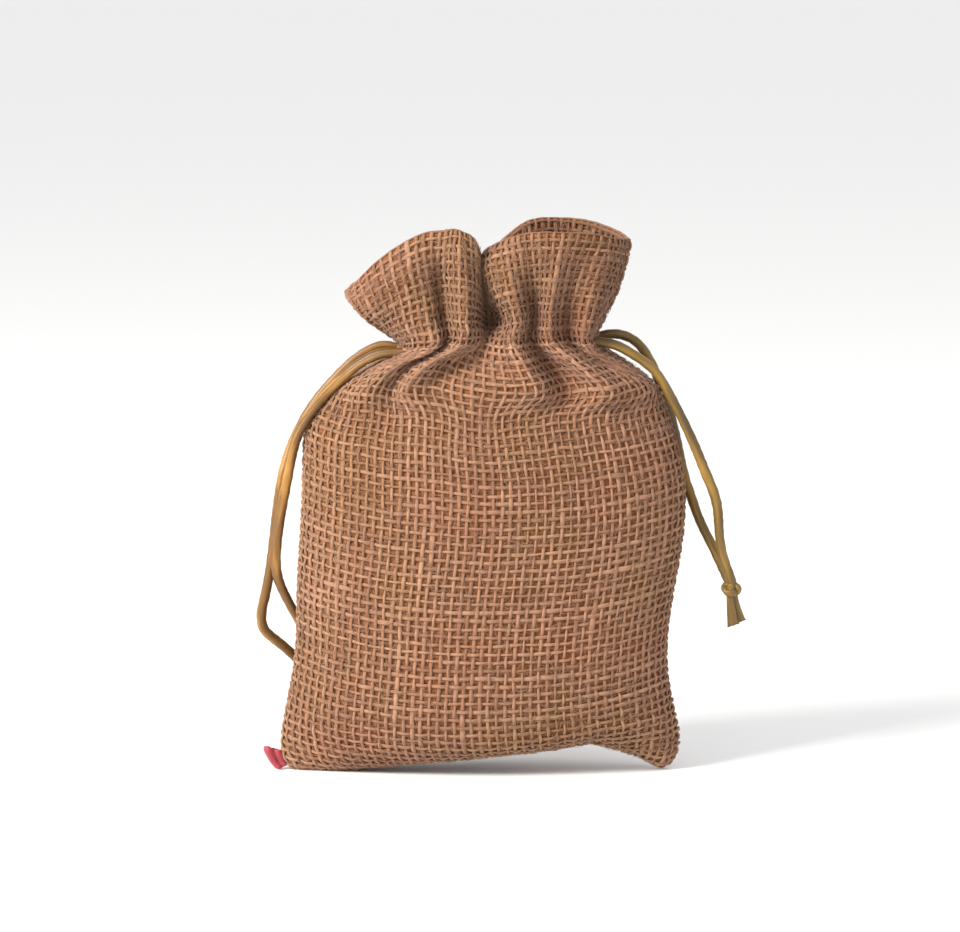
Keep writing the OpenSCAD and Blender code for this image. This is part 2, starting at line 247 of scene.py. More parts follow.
def yarn_material(name, dark, mid, light):
    """Jute yarn: each thread has its own tone, with fibre streaks along it."""
    m = Shade(name, 0.85)
    uv = m.thread_map()
    tone = m.node("ShaderNodeAttribute")
    tone.attribute_name = "tone"
    streak = m.noise(m.scaled(uv, 1.2, 9.0), 1.6, 3.0, 0.6)
    slow = m.noise(m.scaled(uv, 0.35, 3.0), 0.5)
    patch = m.noise(m.place(), 40.0)
    base = m.ramp(tone.outputs["Fac"], [(0.0, dark), (0.5, mid), (1.0, light)])
    streaked = m.multiply(0.75, base, streak, [(0.3, (0.62, 0.58, 0.54)), (0.62, grey(1.12))])
    toned = m.multiply(0.6, streaked, slow, [(0.3, (0.82, 0.78, 0.74)), (0.7, grey(1.1))])
    patches = [(0.36, (1.1, 0.93, 0.88)), (0.5, grey(1.0)), (0.62, (1.0, 1.05, 0.8))]
    patched = m.multiply(0.4, toned, patch, patches)
    m.bump(streak, 0.6, 0.15 * MM)
    return m.finish(patched, Sheen_Weight=0.15, Sheen_Roughness=0.5, Specular_IOR_Level=0.2)


def fill_and_shade_material(name, dark, light):
    """The fuzz seen between the threads, darker than the yarn as painted shade in the gaps."""
    m = Shade(name, 0.95)
    grain = m.noise(m.place(), 900.0, 3.0, 0.6)
    m.bump(grain, 0.5, 0.2 * MM)
    return m.finish(m.ramp(grain, [(0.3, dark), (0.7, light)]), Specular_IOR_Level=0.1)


def satin_material(name, dark, mid, light):
    """Rat-tail satin: fine threads run round the cord on a slant and catch the light."""
    m = Shade(name, 0.34)
    uv = m.thread_map()
    turned = (0, 0, math.radians(35))
    slant = m.node("ShaderNodeMapping", Vector=uv, Rotation=turned).outputs[0]
    wave = m.node("ShaderNodeTexWave", Vector=slant, Scale=0.6, Distortion=2.0, Detail=2.0)
    slow = m.noise(m.scaled(uv, 0.06, 0.4), 1.0, 2.0, 0.55)
    base = m.ramp(slow, [(0.34, dark), (0.5, mid), (0.7, light)])
    lines = [(0.0, (0.7, 0.68, 0.62)), (1.0, grey(1.08))]
    lined = m.multiply(0.35, base, wave.outputs["Fac"], lines)
    m.bump(wave.outputs["Fac"], 0.35, 0.12 * MM)
    return m.finish(lined, Sheen_Weight=0.12, Sheen_Roughness=0.3, Anisotropic=0.6)


def tag_material(dark, light):
    """Plain ribbon with a fine rib."""
    m = Shade("tag", 0.5)
    wave = m.node("ShaderNodeTexWave", Vector=m.place(), Scale=900.0, Distortion=1.0)
    m.bump(wave.outputs["Fac"], 0.4, 0.1 * MM)
    ribbon = m.ramp(wave.outputs["Fac"], [(0.0, dark), (1.0, light)])
    return m.finish(ribbon, Sheen_Weight=0.3)


# Colours from dark to light
JUTE = ((0.172, 0.08, 0.044), (0.285, 0.152, 0.092), (0.365, 0.208, 0.128))
YARN = yarn_material("jute_yarn", *JUTE)
# Fibre fill under the threads, coloured dark as painted shade in the gaps between them
FILL_AND_SHADE = fill_and_shade_material("jute_fill_painted_shade", (0.13, 0.046, 0.017), (0.26, 0.11, 0.048))
GOLD = ((0.1, 0.044, 0.007), (0.155, 0.069, 0.009), (0.38, 0.185, 0.032))
# The right cord is the same gold satin, darkened and turned olive as painted shade
GOLD_PAINTED_SHADE = ((0.078, 0.042, 0.006), (0.138, 0.075, 0.009), (0.28, 0.158, 0.02))
SATIN = {"left": satin_material("gold_satin", *GOLD), "right": satin_material("gold_satin_painted_shade", *GOLD_PAINTED_SHADE)}
TAG = tag_material((0.2, 0.007, 0.017), (0.35, 0.021, 0.042))

# -------- mesh tools


def new_mesh(name, verts, faces, material):
    """A mesh object from arrays: verts in metres, faces all quads or all triangles."""
    verts = np.asarray(verts, np.float32)
    faces = np.asarray(faces, np.int32)
    data = bpy.data.meshes.new(name)
    count, corners = faces.shape
    data.vertices.add(len(verts))
    data.vertices.foreach_set("co", verts.ravel())
    data.loops.add(count * corners)
    data.loops.foreach_set("vertex_index", faces.ravel())
    data.polygons.add(count)
    data.polygons.foreach_set("loop_start", np.arange(count, dtype=np.int32) * corners)
    data.update(calc_edges=True)
    data.polygons.foreach_set("use_smooth", np.full(count, True))
    data.validate()
    ob = bpy.data.objects.new(name, data)
    bpy.context.scene.collection.objects.link(ob)
    data.materials.append(material)
    return ob


def unit(v):
    return v / (np.linalg.norm(v, axis=-1, keepdims=True) + 1e-12)


def tube_faces(rings, sides, tubes=1):
    """Quads round and along each tube, as vertex numbers, without its ends."""
    r = np.arange(rings - 1)[:, None] * sides
    k = np.arange(sides)[None, :]
    k2 = (k + 1) % sides
    one = np.stack([r + k, r + sides + k, r + sides + k2, r + k2], -1).reshape(-1, 4)
    step = np.arange(tubes)[:, None, None] * rings * sides
    return (one[None] + step).reshape(-1, 4)


def end_caps(rings, sides, tubes=1):
    """Quads that close both ends of each tube, for an even number of sides."""
    fan = np.array([(0, i, i + 1, i + 2) for i in range(1, sides - 2, 2)])
    last = fan + (rings - 1) * sides
    one = np.concatenate([fan, last[:, ::-1]])
    step = np.arange(tubes)[:, None, None] * rings * sides
    return (one[None] + step).reshape(-1, 4)


SMOOTH_ROUNDS = 3


def arc_lengths(line):
    """How far along a line each of its points lies."""
    return np.r_[0, np.cumsum(np.linalg.norm(np.diff(line, axis=0), axis=1))]


def smooth_path(points, spacing):
    """A smooth evenly spaced line through given points."""
    p = np.asarray(points, float)
    keys = arc_lengths(p)
    fine = np.linspace(0, keys[-1], int(keys[-1] / (spacing * 0.25)) + 2)
    line = through(keys, p, fine)
    even = evenly(line, int(round(keys[-1] / spacing)) + 1)
    for _ in range(SMOOTH_ROUNDS):
        even[1:-1] = 0.25 * even[:-2] + 0.5 * even[1:-1] + 0.25 * even[2:]
    return even


def through(keys, values, u):
    """A smooth curve through the values at the keys, read at the places u."""
    slopes = np.gradient(values, keys, axis=0)
    i = np.clip(np.searchsorted(keys, u, side="right") - 1, 0, len(keys) - 2)
    h = (keys[i + 1] - keys[i])[:, None]
    t = (u[:, None] - keys[i][:, None]) / h
    return (values[i] * (2 * t**3 - 3 * t**2 + 1) + slopes[i] * h * (t**3 - 2 * t**2 + t)
            + values[i + 1] * (3 * t**2 - 2 * t**3) + slopes[i + 1] * h * (t**3 - t**2))


def evenly(line, count):
    """The same line with its points at even distances."""
    d = arc_lengths(line)
    u = np.linspace(0, d[-1], count)
    return np.stack([np.interp(u, d, line[:, k]) for k in range(line.shape[1])], 1)


def carried_frames(path):
    """Two directions across a path that turn as little as possible along it."""
    forward = unit(np.gradient(path, axis=0))
    sides = np.empty_like(path)
    side = np.array([0.0, 1.0, 0.0])
    for i in range(len(path)):
        side = side - forward[i] * np.dot(side, forward[i])
        side = side / np.linalg.norm(side)
        sides[i] = side
    return sides, np.cross(forward, sides)


def put(ob, node, body):
    """What a piece stands for, and the body that carries it."""
    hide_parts(node)
    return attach(ob, body)


def add_thread_map(ob, u, v):
    """The uv layer named thread: u runs along the thread and v round it, both in millimetres."""
    data = ob.data
    corner = np.empty(len(data.loops), np.int32)
    data.loops.foreach_get("vertex_index", corner)
    layer = data.uv_layers.new(name="thread")
    layer.data.foreach_set("uv", np.stack([u[corner], v[corner]], 1).astype(np.float32).ravel())


# -------- cords

CORD_D = 2.4 * MM
CORD_SIDES = 14
CORD_STEP = 0.9
# The cord is flattened a little, drawn up into puckers, and uneven from ring to ring
CORD_FLAT = 0.12
CORD_TURNS = 0.5
PUCKER = 0.035
UNEVEN = 0.012
# The legs leave the neck's edges at these heights, EXIT_Y before or behind its middle, and
# INSIDE of each lies straight in the casing
EXIT_Y = 6.6
RIGHT_Z = 108.7
LEFT_Z = 105.9
NECK_LEFT = -18.2
NECK_RIGHT = 31.4
INSIDE = 11.0
# Where a leg starts to swing with its loop and where it does fully, from its exit
BEND_BEFORE = 1
BEND_AFTER = 9
# The legs' routes from the neck to the knot, as X, Y and Z
RIGHT_FRONT = [
    (36, -6.6, 107.8), (39, -6.4, 106.1), (42.5, -6, 103.8), (46, -5.4, 100.5), (48.5, -4.8, 96.5),
    (50.6, -4.2, 92.5), (52.6, -3.6, 88.5), (54.7, -3, 84), (56.6, -2.6, 79.5), (58.4, -2.3, 75),
    (60.1, -2.1, 71), (61.2, -1.9, 67), (61.6, -1.7, 62.5), (61.9, -1.5, 58.5), (62.7, -1.3, 54.5),
    (63.9, -1.3, 51), (64.9, -1.3, 48.2), (65, -0.5, 47)]
RIGHT_BACK = [
    (35, 6.7, 109.5), (38.2, 7, 109), (41, 7, 107.5), (43.3, 7, 104.8), (45.3, 6.8, 101.2),
    (47, 6.4, 97), (48.6, 6, 92.3), (50, 5.6, 87.4), (51.2, 5.2, 82.4), (52.3, 4.8, 77.2),
    (53.6, 4.3, 72.2), (55, 3.8, 68.4), (56.3, 3.3, 64.6), (57.8, 2.9, 61.1), (59.5, 2.4, 57.8),
    (61.3, 1.9, 54.2), (62.8, 1.5, 51), (64, 1.3, 48.4), (64.7, 0.5, 47)]
LEFT_OUTER = [
    (-22.5, 6.8, 106.6), (-26.5, 6.6, 105), (-30.4, 6.2, 102.3), (-34, 5.6, 98.8), (-37.6, 4.8, 94.9),
    (-40.8, 4, 90.6), (-43.8, 3.2, 85.3), (-46.2, 2.6, 79.7), (-47.8, 2.2, 73.6), (-48.8, 2.1, 67.5),
    (-49.5, 2.1, 61.5), (-50.1, 2.1, 55.5), (-50.9, 2.1, 49.8), (-52, 2.2, 44.2), (-53.1, 2.6, 39),
    (-52.6, 4, 35), (-50.1, 5.4, 32.4), (-47.2, 6.8, 29.8), (-44.2, 8.4, 26.4), (-41.2, 9.9, 22),
    (-38.4, 11.3, 17.4), (-36, 12.5, 12.6), (-34.2, 13.5, 8.5), (-33, 14, 5.5), (-32.4, 14.2, 3.4)]
LEFT_INNER = [
    (-22.5, -6.7, 105.9), (-26.5, -6.7, 104.2), (-30.5, -6.5, 101.3), (-34.2, -6, 98), (-37.8, -5.4, 94),
    (-41, -4.4, 89.6), (-43.6, -3.2, 84.8), (-45.2, -2.3, 79), (-46.4, -1.6, 73), (-47.6, -1.1, 67),
    (-48.6, -0.9, 61), (-49.2, -0.8, 55.5), (-49.2, -0.4, 51), (-48.3, 1.6, 46.8), (-46.5, 3.9, 42.4),
    (-44.4, 5.9, 38), (-42.1, 7.8, 33.4), (-39.5, 9.6, 28.4), (-37, 11.3, 23.2), (-34.8, 12.7, 18),
    (-33, 13.8, 13), (-31.4, 14.6, 8.5), (-30.4, 15, 5.5), (-30.6, 15, 3.4)]
RIGHT_KNOT = (65.0, 0.0, 46.2)
LEFT_KNOT = (-31.6, 14.6, 2.5)
LEFT_TAILS = (-31.6, 14.6, 1.3)


def cord_mesh(name, path, diameter, seed, which, flat=CORD_FLAT, turns=CORD_TURNS):
    """A slightly flattened, slowly twisting round cord along a path in metres."""
    rng = np.random.default_rng(seed)
    side, up = carried_frames(path)
    rings = len(path)
    d = arc_lengths(path) / MM
    twist = turns * 2 * np.pi * d / d[-1] + rng.uniform(0, 6)
    squash = 1 + flat * np.sin(twist * 1.7 + rng.uniform(0, 6, 1))
    puckered = 1 + PUCKER * np.sin(d * 2.1 + 2 * np.sin(d * 0.37)) + rng.normal(0, UNEVEN, rings)
    a = 2 * np.pi * np.arange(CORD_SIDES) / CORD_SIDES
    c = np.cos(a)[None] * squash[:, None]
    s = np.sin(a)[None] / squash[:, None]
    ct, st = np.cos(twist)[:, None], np.sin(twist)[:, None]
    sideways, upwards = c * ct - s * st, c * st + s * ct
    ring = side[:, None] * sideways[..., None] + up[:, None] * upwards[..., None]
    verts = path[:, None] + 0.5 * diameter * puckered[:, None, None] * ring
    faces = np.concatenate([tube_faces(rings, CORD_SIDES), end_caps(rings, CORD_SIDES)])
    ob = new_mesh(name, verts.reshape(-1, 3), faces, SATIN[which])
    u = np.repeat(d, CORD_SIDES)
    v = np.tile(a * diameter / MM / 2, rings) + np.repeat(twist, CORD_SIDES)
    add_thread_map(ob, u, v)
    return ob


def free_leg(name, side, y, z, route, node, seed):
    """One free leg with the straight end that lies in the casing before it."""
    edge = NECK_RIGHT if side > 0 else NECK_LEFT
    start = [(edge - side * INSIDE, y, z), (edge - side * INSIDE / 2, y, z), (edge, y, z)]
    path = smooth_path(start + list(route), CORD_STEP) * MM
    which = "right" if side > 0 else "left"
    ob = cord_mesh(name, path, CORD_D, seed, which)
    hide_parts(node)
    exit_at = (edge * MM, y * MM, z * MM)
    length = float(np.linalg.norm(np.diff(path, axis=0), axis=1).sum())
    return ob, path, exit_at, length


# The knot: its turn to the side, its size across, down and in depth, and its cord's thickness as a
# part of the whole, flatness and turns
KNOT_RINGS = 96
KNOT_TURNED = 0.45
KNOT_SIZE = (0.47, 0.48, 0.9)
KNOT_CORD = 0.97
KNOT_FLAT = 0.2
KNOT_TURNS = 2


def trefoil(count):
    t = np.linspace(0, 2 * np.pi, count)
    x, y, z = np.sin(t) + 2 * np.sin(2 * t), np.cos(t) - 2 * np.cos(2 * t), -np.sin(3 * t)
    return x[:, None], y[:, None], z[:, None]


def make_knot(which, centre, down, across, seed):
    """An overhand knot pulled tight, as one wrapped length of cord."""
    down, across = np.array(down, float), np.array(across, float)
    facing = np.cross(across, down)
    turned = unit(across + KNOT_TURNED * facing)
    depth = np.cross(turned, down)
    wide, tall, deep = KNOT_SIZE
    x, y, z = trefoil(KNOT_RINGS)
    path = x * turned * wide + y * down * tall + z * depth * deep
    ob = cord_mesh(which + "_knot_satin", (path + centre) * MM, KNOT_CORD * CORD_D, seed, which,
                   KNOT_FLAT, KNOT_TURNS)
    return put(ob, which + "_knot", which + "_loop")


# The two tails: where each starts and ends across, its depth and its length
TAILS = ((-0.5, 0.5, -0.5, 9.6), (0.55, 2.3, 0.5, 8.8))
TAIL_START = 1.0
# A tail's width and thickness at its start, as a part of the cord's, and their change
TAIL_ROOT = 0.72
TAIL_FLARE = 0.55
TAIL_THINNING = 0.32
TAIL_PLEATS = 6
PLEAT_DEPTH = 0.1
CUT_SLANT = 0.4
CUT_FRAY = (-0.3, 0.2)


def make_tails(which, centre, down, across, seed):
    """Two cut ends that open out flat below the knot, with a slanted, slightly frayed cut."""
    rng = np.random.default_rng(seed)
    centre, down, across = (np.array(v, float) for v in (centre, down, across))
    facing = np.cross(across, down)
    rings, sides = 12, 16
    k = np.linspace(0, 1, rings)[:, None]
    a = 2 * np.pi * np.arange(sides) / sides
    verts, u, v = [], [], []
    for begin, end, deep, long in TAILS:
        path = (centre + down * (TAIL_START + (long - TAIL_START) * k) + facing * deep
                + across * (begin + (end - begin) * k**1.4))
        wide = 0.5 * CORD_D / MM * (TAIL_ROOT + TAIL_FLARE * k**1.5)
        thin = 0.5 * CORD_D / MM * (TAIL_ROOT - TAIL_THINNING * k)
        pleats = 1 + PLEAT_DEPTH * np.sin(TAIL_PLEATS * a)[None] * k
        ring = (across * (wide * np.cos(a) * pleats)[..., None]
                + facing * (thin * np.sin(a) * pleats)[..., None])
        tube = path[:, None] + ring
        slant = -CUT_SLANT * wide[-1] * np.cos(a)[:, None]
        tube[-1] += down * (slant + rng.uniform(*CUT_FRAY, (sides, 1)))
        verts.append(tube.reshape(-1, 3))
        u.append(np.repeat(k[:, 0] * long, sides))
        v.append(np.tile(a * CORD_D / MM / 2, rings))
    faces = np.concatenate([tube_faces(rings, sides, 2), end_caps(rings, sides, 2)])
    ob = new_mesh(which + "_tails_satin", np.concatenate(verts) * MM, faces, SATIN[which])
    add_thread_map(ob, np.concatenate(u), np.concatenate(v))
    return put(ob, which + "_cord_tails", which + "_loop")


def make_run(which, side, z, seed):
    """The part of a cord that lies in the casing and turns round the far end of the neck."""
    node = which + "_cord_run"
    low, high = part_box(node)
    x_open = (high[0] if side > 0 else low[0]) / MM
    x_turn = (low[0] if side > 0 else high[0]) / MM + side * (EXIT_Y + CORD_D / MM / 2)
    bow = [(x_turn - side * EXIT_Y * math.sin(t), -EXIT_Y * math.cos(t), z)
           for t in np.linspace(0, math.pi, 9)]
    points = [(x_open, -EXIT_Y, z)] + bow + [(x_open, EXIT_Y, z)]
    ob = cord_mesh(node + "_satin", smooth_path(points, CORD_STEP) * MM, CORD_D, seed, which)
    return put(ob, node, body_of(frame["nodes"][node])[0])


def declare_leg(ob, exit_at, which):
    """How a leg bends out of the neck."""
    side = 1 if which == "right" else -1
    bend_from = (exit_at[0] - side * BEND_BEFORE * MM, exit_at[1], exit_at[2])
    bend_to = (exit_at[0] + side * BEND_AFTER * MM, exit_at[1], exit_at[2])
    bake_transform(ob, which + "_ends", which + "_loop", start=bend_from, end=bend_to)


# -------- cloth as a relaxed sheet

# The weave: the threads' pitch and numbers, and the cloth's grid with SUB points to each thread
PITCH = 2.1
WARPS = 51
WEFTS = 71
SUB = 2
STEP = PITCH / SUB
COLS = WARPS * SUB
ROWS = WEFTS * SUB
NECK_ROW = 116
HALF_DEPTH = 16.5
OUTLINE_POINTS = 400

# The bag's level sections, from the bottom to the shoulders: height, left edge, right edge, half
# depth as a part of the whole, squareness
SECTIONS = np.array([
    [0, -46, 50.5, 0.48, 1.3], [1.5, -47.5, 51.5, 0.67, 1.35], [4, -48.5, 52, 0.79, 1.45],
    [8, -48.5, 52, 0.87, 1.6], [15, -47, 50.5, 0.94, 1.8], [25, -44.5, 48.5, 0.975, 1.95],
    [35, -43.5, 48.5, 0.99, 2], [45, -43.5, 50, 1, 2], [55, -43, 52, 1, 2],
    [75, -42, 52.5, 0.975, 2], [85, -41.5, 49.5, 0.925, 2], [91, -40, 48, 0.86, 2]], float)
# The bottom edge rises from the left corner to a hollow before the right ear
BOTTOM_X = [-48, -33, -8, 17, 30, 42, 47.5, 53]
BOTTOM_RISE = [0, 0.8, 3.8, 6.5, 8.3, 4.2, 0.6, 4]
RISE_ENDS = 20
# Lines across the gathered cloth from left to right, one point for each ridge or valley, as X, Y
# and Z: two on the shoulders, the neck, three on the lip and its rim
SHOULDER_LINES = 2
FRONT_LINES = np.array([
    [[-36, 0, 95.5], [-33.6, -6, 95.8], [-29.4, -9.8, 96], [-25, -12.6, 96.4], [-20.6, -11.2, 96.6],
     [-16.4, -14, 96.6], [-9.6, -12.6, 96.8], [-1, -14, 97], [8, -15, 97], [16.6, -15.8, 96.8],
     [23.4, -8.4, 96.6], [33, -14.4, 96.4], [38.6, -11.2, 96], [43.4, -7.4, 95.8], [47, 0, 95.5]],
    [[-27, 0, 101], [-25.6, -5.5, 101.5], [-23.6, -9.4, 102], [-20, -12.8, 103], [-15.6, -10.4, 103.6],
     [-11.6, -14.4, 103.6], [-6.8, -10, 103.8], [0, -11.4, 104], [6.8, -13.6, 104.2],
     [13.4, -15.8, 103.8], [19.2, -6.4, 103.4], [27, -15.2, 103.4], [32.4, -10, 102.8],
     [37, -8.6, 102.2], [41, 0, 101.5]],
    [[-18.2, 0, 107.2], [-16.8, -6.5, 107.6], [-13.5, -11.5, 108.2], [-8.6, -14.6, 109],
     [-6.2, -9.5, 109.4], [-2.2, -16, 109.6], [1.2, -11.5, 109.6], [3, -9.5, 109.4],
     [6.5, -13.2, 109], [10.6, -15.6, 109.4], [14.6, -9.5, 109.6], [19.2, -15, 109.8],
     [23.6, -9.5, 109.8], [27.6, -13, 109.4], [31.4, 0, 109.4]],
    [[-23, -3, 111.3], [-20.4, -8, 113], [-14.8, -11, 114], [-9.8, -11.5, 114.5], [-7, -5.8, 114.5],
     [-2.4, -16.6, 115], [0.8, -10.6, 114.8], [4, -0.6, 114.5], [7.8, -8.6, 114.5],
     [11, -15.8, 114.8], [15.4, -8.4, 115], [19, -15, 115], [23.3, -9.8, 115], [28.4, -13.4, 115],
     [33.4, 0, 114]],
    [[-28, -6.5, 114.8], [-23.4, -10, 118.6], [-16, -10.8, 121], [-10.8, -9.8, 122], [-7.8, -6.2, 122],
     [-2.4, -16, 122], [1.2, -11.4, 121.6], [2.9, -4.4, 121], [4.9, -10, 121],
     [9.4, -14.8, 121.3], [15.2, -10.4, 122], [19.8, -14.8, 122], [24.4, -11.8, 122],
     [30, -13, 121.8], [36.4, 0, 120]],
    [[-30.8, -5, 117.6], [-25.2, -8.6, 123.6], [-17.6, -10.6, 128], [-11.8, -11.4, 129.6],
     [-7.8, -11, 130], [-3, -14.6, 130.4], [1.1, -11.4, 129.2], [2.1, -6.2, 127.2],
     [3.2, -9.8, 127.8], [8, -13.4, 128.8], [14.6, -13.8, 129.6], [21, -15, 129.8],
     [26.4, -13.4, 129.4], [32.6, -12, 129.2], [38.6, 0, 127.5]],
    [[-32, -1, 118.8], [-26.1, -6.4, 125.9], [-18.2, -9.6, 132], [-11.9, -11.4, 135.4],
     [-7.2, -12.6, 136.2], [-2.8, -13.2, 136], [0.9, -11.4, 133.8], [2.1, -4.4, 129.8],
     [3.2, -6.4, 131.4], [7.6, -11.6, 133.6], [14, -14.2, 135.4], [22, -15, 135.6],
     [28.6, -13.4, 135.2], [34.6, -9.4, 134], [39.6, 0, 132.6]]], float)
BACK_LINES = np.array([
    [[-36, 0, 95.5], [-31, 8.6, 95.8], [-23, 12.8, 96.4], [-15.4, 11.6, 96.6], [-6, 14.4, 96.8],
     [2.5, 12.6, 97], [11, 15, 97], [19.4, 12.6, 96.8], [28, 14, 96.6], [36, 11.8, 96.2],
     [43, 8, 95.8], [47, 0, 95.5]],
    [[-27, 0, 101], [-24, 8, 102], [-17.5, 13, 103], [-12, 9.6, 103.4], [-4, 14.2, 103.8],
     [2.5, 10.2, 104], [9.5, 14.8, 104], [16.5, 10, 103.6], [24, 14.4, 103.4], [30.5, 10.4, 102.8],
     [36.6, 9, 102.2], [41, 0, 101.5]],
    [[-18.2, 0, 107.2], [-16, 8, 107.6], [-10.5, 13, 108.6], [-7, 9.5, 109.2], [-1.5, 14.6, 109.6],
     [2.5, 9.5, 109.6], [7.5, 15, 109.6], [13.5, 9.5, 109.6], [18.5, 14.6, 109.8],
     [23, 9.6, 109.8], [28, 11.5, 109.4], [31.4, 0, 109.4]],
    [[-23, -3, 111.3], [-20, 4, 113], [-13.4, 10, 114.4], [-8.4, 6.6, 114.8], [-2, 11.6, 115],
     [2.6, 6.6, 115], [7.6, 12.4, 115], [13.6, 8.6, 115.2], [19.4, 13.6, 115.2],
     [24.4, 9.6, 115], [29.6, 10.6, 115], [33.4, 0, 114]],
    [[-28, -6.5, 114.8], [-22, 2.6, 119], [-14.4, 8.6, 121.4], [-8.6, 5, 122], [-2, 9.8, 122],
     [3, 3.6, 121], [8, 10.4, 122], [14.4, 8.6, 122.4], [21.6, 13.4, 122.6], [27.6, 10.2, 122.2],
     [32.4, 9, 121.8], [36.4, 0, 120]],
    [[-30.8, -5, 117.6], [-24, 1.6, 123.6], [-16, 6.6, 127.8], [-9.4, 5.6, 129.4], [-2.6, 7.8, 129.4],
     [2.6, 2.6, 125.6], [8.4, 8.8, 128.6], [14.6, 10.6, 130], [22.6, 13.6, 130.2],
     [29.4, 11.4, 129.8], [34.6, 8, 129.4], [38.6, 0, 127.5]],
    [[-32, -1, 118.8], [-25.2, 2, 124.4], [-17, 4.8, 131], [-10, 6, 133.8], [-3, 7.4, 132.8],
     [2.4, 2.4, 128], [8, 8.4, 132.8], [14.4, 12, 136.8], [22.6, 13.8, 137.4], [30, 11.4, 136.8],
     [35.8, 6.4, 135], [39.6, 0, 132.6]]], float)


def lift(x, z):
    """How much the uneven bottom edge raises a section of the bag."""
    return np.interp(x, BOTTOM_X, BOTTOM_RISE) * np.clip(1 - z / RISE_ENDS, 0, 1) ** 1.5


def half_section(z, x0, x1, depth, square, side, count):
    """Half of a rounded outline at one height, from left to right."""
    a = np.linspace(np.pi, 0, OUTLINE_POINTS)
    c, s = np.cos(a), np.abs(np.sin(a))
    s[0] = s[-1] = 0
    x = (x0 + x1) / 2 + (x1 - x0) / 2 * np.sign(c) * np.abs(c) ** (2 / square)
    y = side * depth * s ** (2 / square)
    return evenly(np.stack([x, y, z + lift(x, z)], 1), count)


def gathered_lines(lines, count):
    """Smooth lines across the gathers, with each fold at the same threads in all of them."""
    steps = np.linalg.norm(np.diff(lines, axis=1), axis=2)
    places = np.r_[0, np.cumsum((steps / steps.sum(1, keepdims=True)).mean(0))]
    fine = np.linspace(0, 1, count)
    return [through(places, line, fine) for line in lines]


# One weft lies level across the belly and rises towards both seams. The rows below it and near
# the gathers close up or open to fit
LEVEL_ROW = 40
LEVEL_Z = 33.0
LEVEL_MIDDLE = 8.0
LEVEL_REACH = (50.0, 42.0)
LEVEL_RISE = 6.2
CLOSING_FROM = 0.6


def wefts_up(line, keys, length):
    """How far up a column of the given length each row lies, from the bottom to the neck."""
    row = np.arange(NECK_ROW + 1)
    x, _, z = through(keys, line, np.array([LEVEL_ROW * STEP]))[0]
    reach = LEVEL_REACH[0] if x < LEVEL_MIDDLE else LEVEL_REACH[1]
    move = LEVEL_Z + LEVEL_RISE * abs((x - LEVEL_MIDDLE) / reach) ** 3 - z
    low = np.clip(row / LEVEL_ROW, 0, 1)
    high = np.clip((row / NECK_ROW - CLOSING_FROM) / (1 - CLOSING_FROM), 0, 1) ** 1.5
    return row * STEP + move * low * (2 - low) + (length - NECK_ROW * STEP - move) * high


def start_side(side):
    """The front (-1) or back (1) of the cloth before it is relaxed: rows up, columns across."""
    n = COLS + 1
    bottom = half_section(0, SECTIONS[0, 1] + 1, SECTIONS[0, 2] - 1, 0.01, 2, side, n)
    bottom[:, 1] = 0
    rows = [bottom]
    for z, x0, x1, depth, square in SECTIONS:
        rows.append(half_section(z, x0, x1, HALF_DEPTH * depth, square, side, n))
    neck = len(rows) + SHOULDER_LINES
    rows = np.array(rows + gathered_lines(FRONT_LINES if side < 0 else BACK_LINES, n))
    out = np.empty((ROWS + 1, n, 3))
    for j in range(n):
        line = rows[:, j]
        keys = arc_lengths(line)
        below = wefts_up(line, keys, keys[neck])
        above = np.linspace(keys[neck], keys[-1], ROWS - NECK_ROW + 1)
        out[:, j] = through(keys, line, np.r_[below, above[1:]])
    return out


def pull_together(cloth, axis, stretch, press):
    """Bring neighbours nearer to the grid's step, for even pairs and then odd pairs."""
    n = cloth.shape[axis]
    view = cloth if axis == 0 else cloth.swapaxes(0, 1)
    for start in (0, 1):
        a = np.arange(start, n - (1 if axis == 0 else 0), 2)
        b = (a + 1) % n
        gap = view[b] - view[a]
        length = np.linalg.norm(gap, axis=2, keepdims=True) + 1e-9
        gap *= 0.5 * np.where(length > STEP, stretch, press) * (length - STEP) / length
        view[a] += gap
        view[b] -= gap


def cloth_normals(cloth):
    """Directions out of the bag; the ring of columns closes on itself."""
    across = np.roll(cloth, -1, 1) - np.roll(cloth, 1, 1)
    up = np.gradient(cloth, axis=0)
    return unit(np.cross(across, up))


RELAX_STEPS = 160
PULL_ROUNDS = 6
ACROSS_PULL = (0.7, 0.2)
UP_PULL = (1.0, 0.5)
PRESSURE = 0.03
BENDING = 0.1
# Pulls back to the starting shape: on the body, above row SHAPED_FROM and at the bottom
SHAPED_FROM = 90
SHAPED_FULLY = 10
BODY_PULL = 0.02
SHAPED_PULL = 0.3
BOTTOM_PULL = 0.1
BOTTOM_ROWS = 16
LOWEST = 0.3
HALF_GAP = 0.35
# How far the cloth keeps from a cord's middle, from OFF_NECK outside the neck, in the last steps
CORD_GAP = 1.9
OFF_NECK = 7
CORD_STEPS = 8
LINE_STEP = 1.8
SMOOTH_ROWS = 4


def cord_lines():
    """The free cords where they lie near the bag, past the place where they leave the neck."""
    lines = []
    for route in (RIGHT_FRONT, RIGHT_BACK, LEFT_OUTER, LEFT_INNER):
        line = smooth_path(route, LINE_STEP)
        off_neck = np.maximum(line[:, 0] - NECK_RIGHT, NECK_LEFT - line[:, 0])
        lines.append(line[off_neck > OFF_NECK])
    return lines


def clear_of_cords(cloth, lines):
    """The cloth gives way where a cord presses on it."""
    for line in lines:
        off = cloth[:, :, None] - line[None, None]
        gap = np.linalg.norm(off, axis=3)
        near = gap.argmin(2)[..., None]
        least = np.take_along_axis(gap, near, 2)
        away = np.take_along_axis(off, near[..., None], 2)[:, :, 0] / (least + 1e-9)
        cloth += away * np.maximum(CORD_GAP - least, 0)


